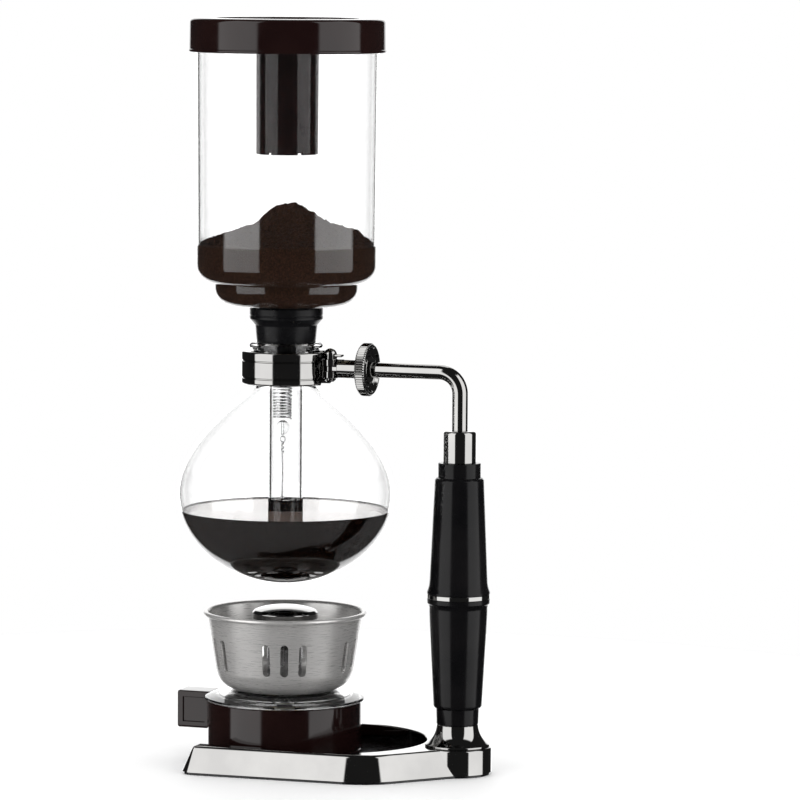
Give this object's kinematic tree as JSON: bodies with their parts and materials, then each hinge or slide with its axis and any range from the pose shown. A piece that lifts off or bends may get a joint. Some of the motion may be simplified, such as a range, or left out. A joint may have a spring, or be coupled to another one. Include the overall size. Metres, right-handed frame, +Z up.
{
  "type": "siphon coffee maker",
  "caption": "Siphon coffee maker: glass bowl plugged into a round flask, held by a clamp arm on a grip handle over a spirit lamp, on a horseshoe base.",
  "frame": {"origin": "point on the underside of the base, on the flask's axis, at table level", "axes": "+Z up along the flask's axis, +X from the flask towards the handle, front view along +Y"},
  "size_m": [0.1504, 0.1, 0.3422],
  "materials": {
    "chrome": "polished chrome plate",
    "satin_steel": "satin stainless sheet",
    "steel": "bright drawn steel",
    "brass": "turned brass",
    "grip_plastic": "black, half gloss",
    "brown_plastic": "very dark brown, gloss",
    "base_mat": "black sheet",
    "black_rubber": "smooth black rubber",
    "clear_glass": "clear blown borosilicate",
    "bead_glass": "clear bead",
    "coffee": "still black coffee",
    "grounds": "coarse ground coffee",
    "filter_cotton": "brushed cotton flannel",
    "wick_cotton": "braided cotton"
  },
  "bodies": {
    "stand": {"base_frame": "chrome", "base_floor": "base_mat", "base_washer": "steel", "base_screw": "steel", "handle_foot": "chrome", "lower_grip": "grip_plastic", "grip_band": "chrome", "upper_grip": "grip_plastic", "handle_collar": "chrome", "stand_arm": "chrome", "clamp_pin": "chrome", "pin_lever": "chrome", "flask": "clear_glass", "brewed_coffee": "coffee", "clamp_sleeve": "chrome"},
    "knob": {"clamp_knob": "chrome"},
    "front_jaw": {"jaw_front": "chrome", "pad_front": "black_rubber"},
    "rear_jaw": {"jaw_rear": "chrome", "pad_rear": "black_rubber"},
    "upper": {"bowl": "clear_glass", "gasket": "black_rubber", "filter_disc": "steel", "filter_cloth": "filter_cotton", "filter_spring": "steel", "filter_bead": "bead_glass", "filter_chain": "steel", "filter_hook": "steel", "coffee_grounds": "grounds"},
    "lid": {"lid": "brown_plastic"},
    "lamp": {"lamp_base": "brown_plastic", "fuel_reservoir": "clear_glass", "reservoir_collar": "brass", "wick_holder": "steel", "wick": "wick_cotton", "windshield": "satin_steel"},
    "snuffer": {"snuffer_cap": "satin_steel"}
  },
  "joints": [
    {"name": "knob_turn", "type": "hinge", "parent": "stand", "child": "knob", "pos_m": [0.039, 0, 0.183], "axis": [1, 0, 0], "range_deg": [0, 360]},
    {"name": "front_jaw_swing", "type": "hinge", "parent": "stand", "child": "front_jaw", "pos_m": [0.0215, 0, 0.183], "axis": [0, 0, 1], "range_deg": [0, 18.1]},
    {"name": "rear_jaw_swing", "type": "hinge", "parent": "stand", "child": "rear_jaw", "pos_m": [0.0215, 0, 0.183], "axis": [0, 0, -1], "range_deg": [0, 18.1]},
    {"name": "bowl_lift", "type": "slide", "parent": "stand", "child": "upper", "axis": [0, 0, 1], "range_m": [0, 0.12]},
    {"name": "lid_lift", "type": "slide", "parent": "upper", "child": "lid", "axis": [0, 0, 1], "range_m": [0, 0.065]},
    {"name": "lamp_slide", "type": "slide", "parent": "stand", "child": "lamp", "axis": [-1, 0, 0], "range_m": [0, 0.125]},
    {"name": "cap_lift", "type": "slide", "parent": "lamp", "child": "snuffer", "axis": [0, 0, 1], "range_m": [0, 0.009]}
  ],
  "couplings": [
    {"joint": "front_jaw_swing", "follows": "knob_turn", "ratio": 0.05},
    {"joint": "rear_jaw_swing", "follows": "knob_turn", "ratio": 0.05}
  ]
}
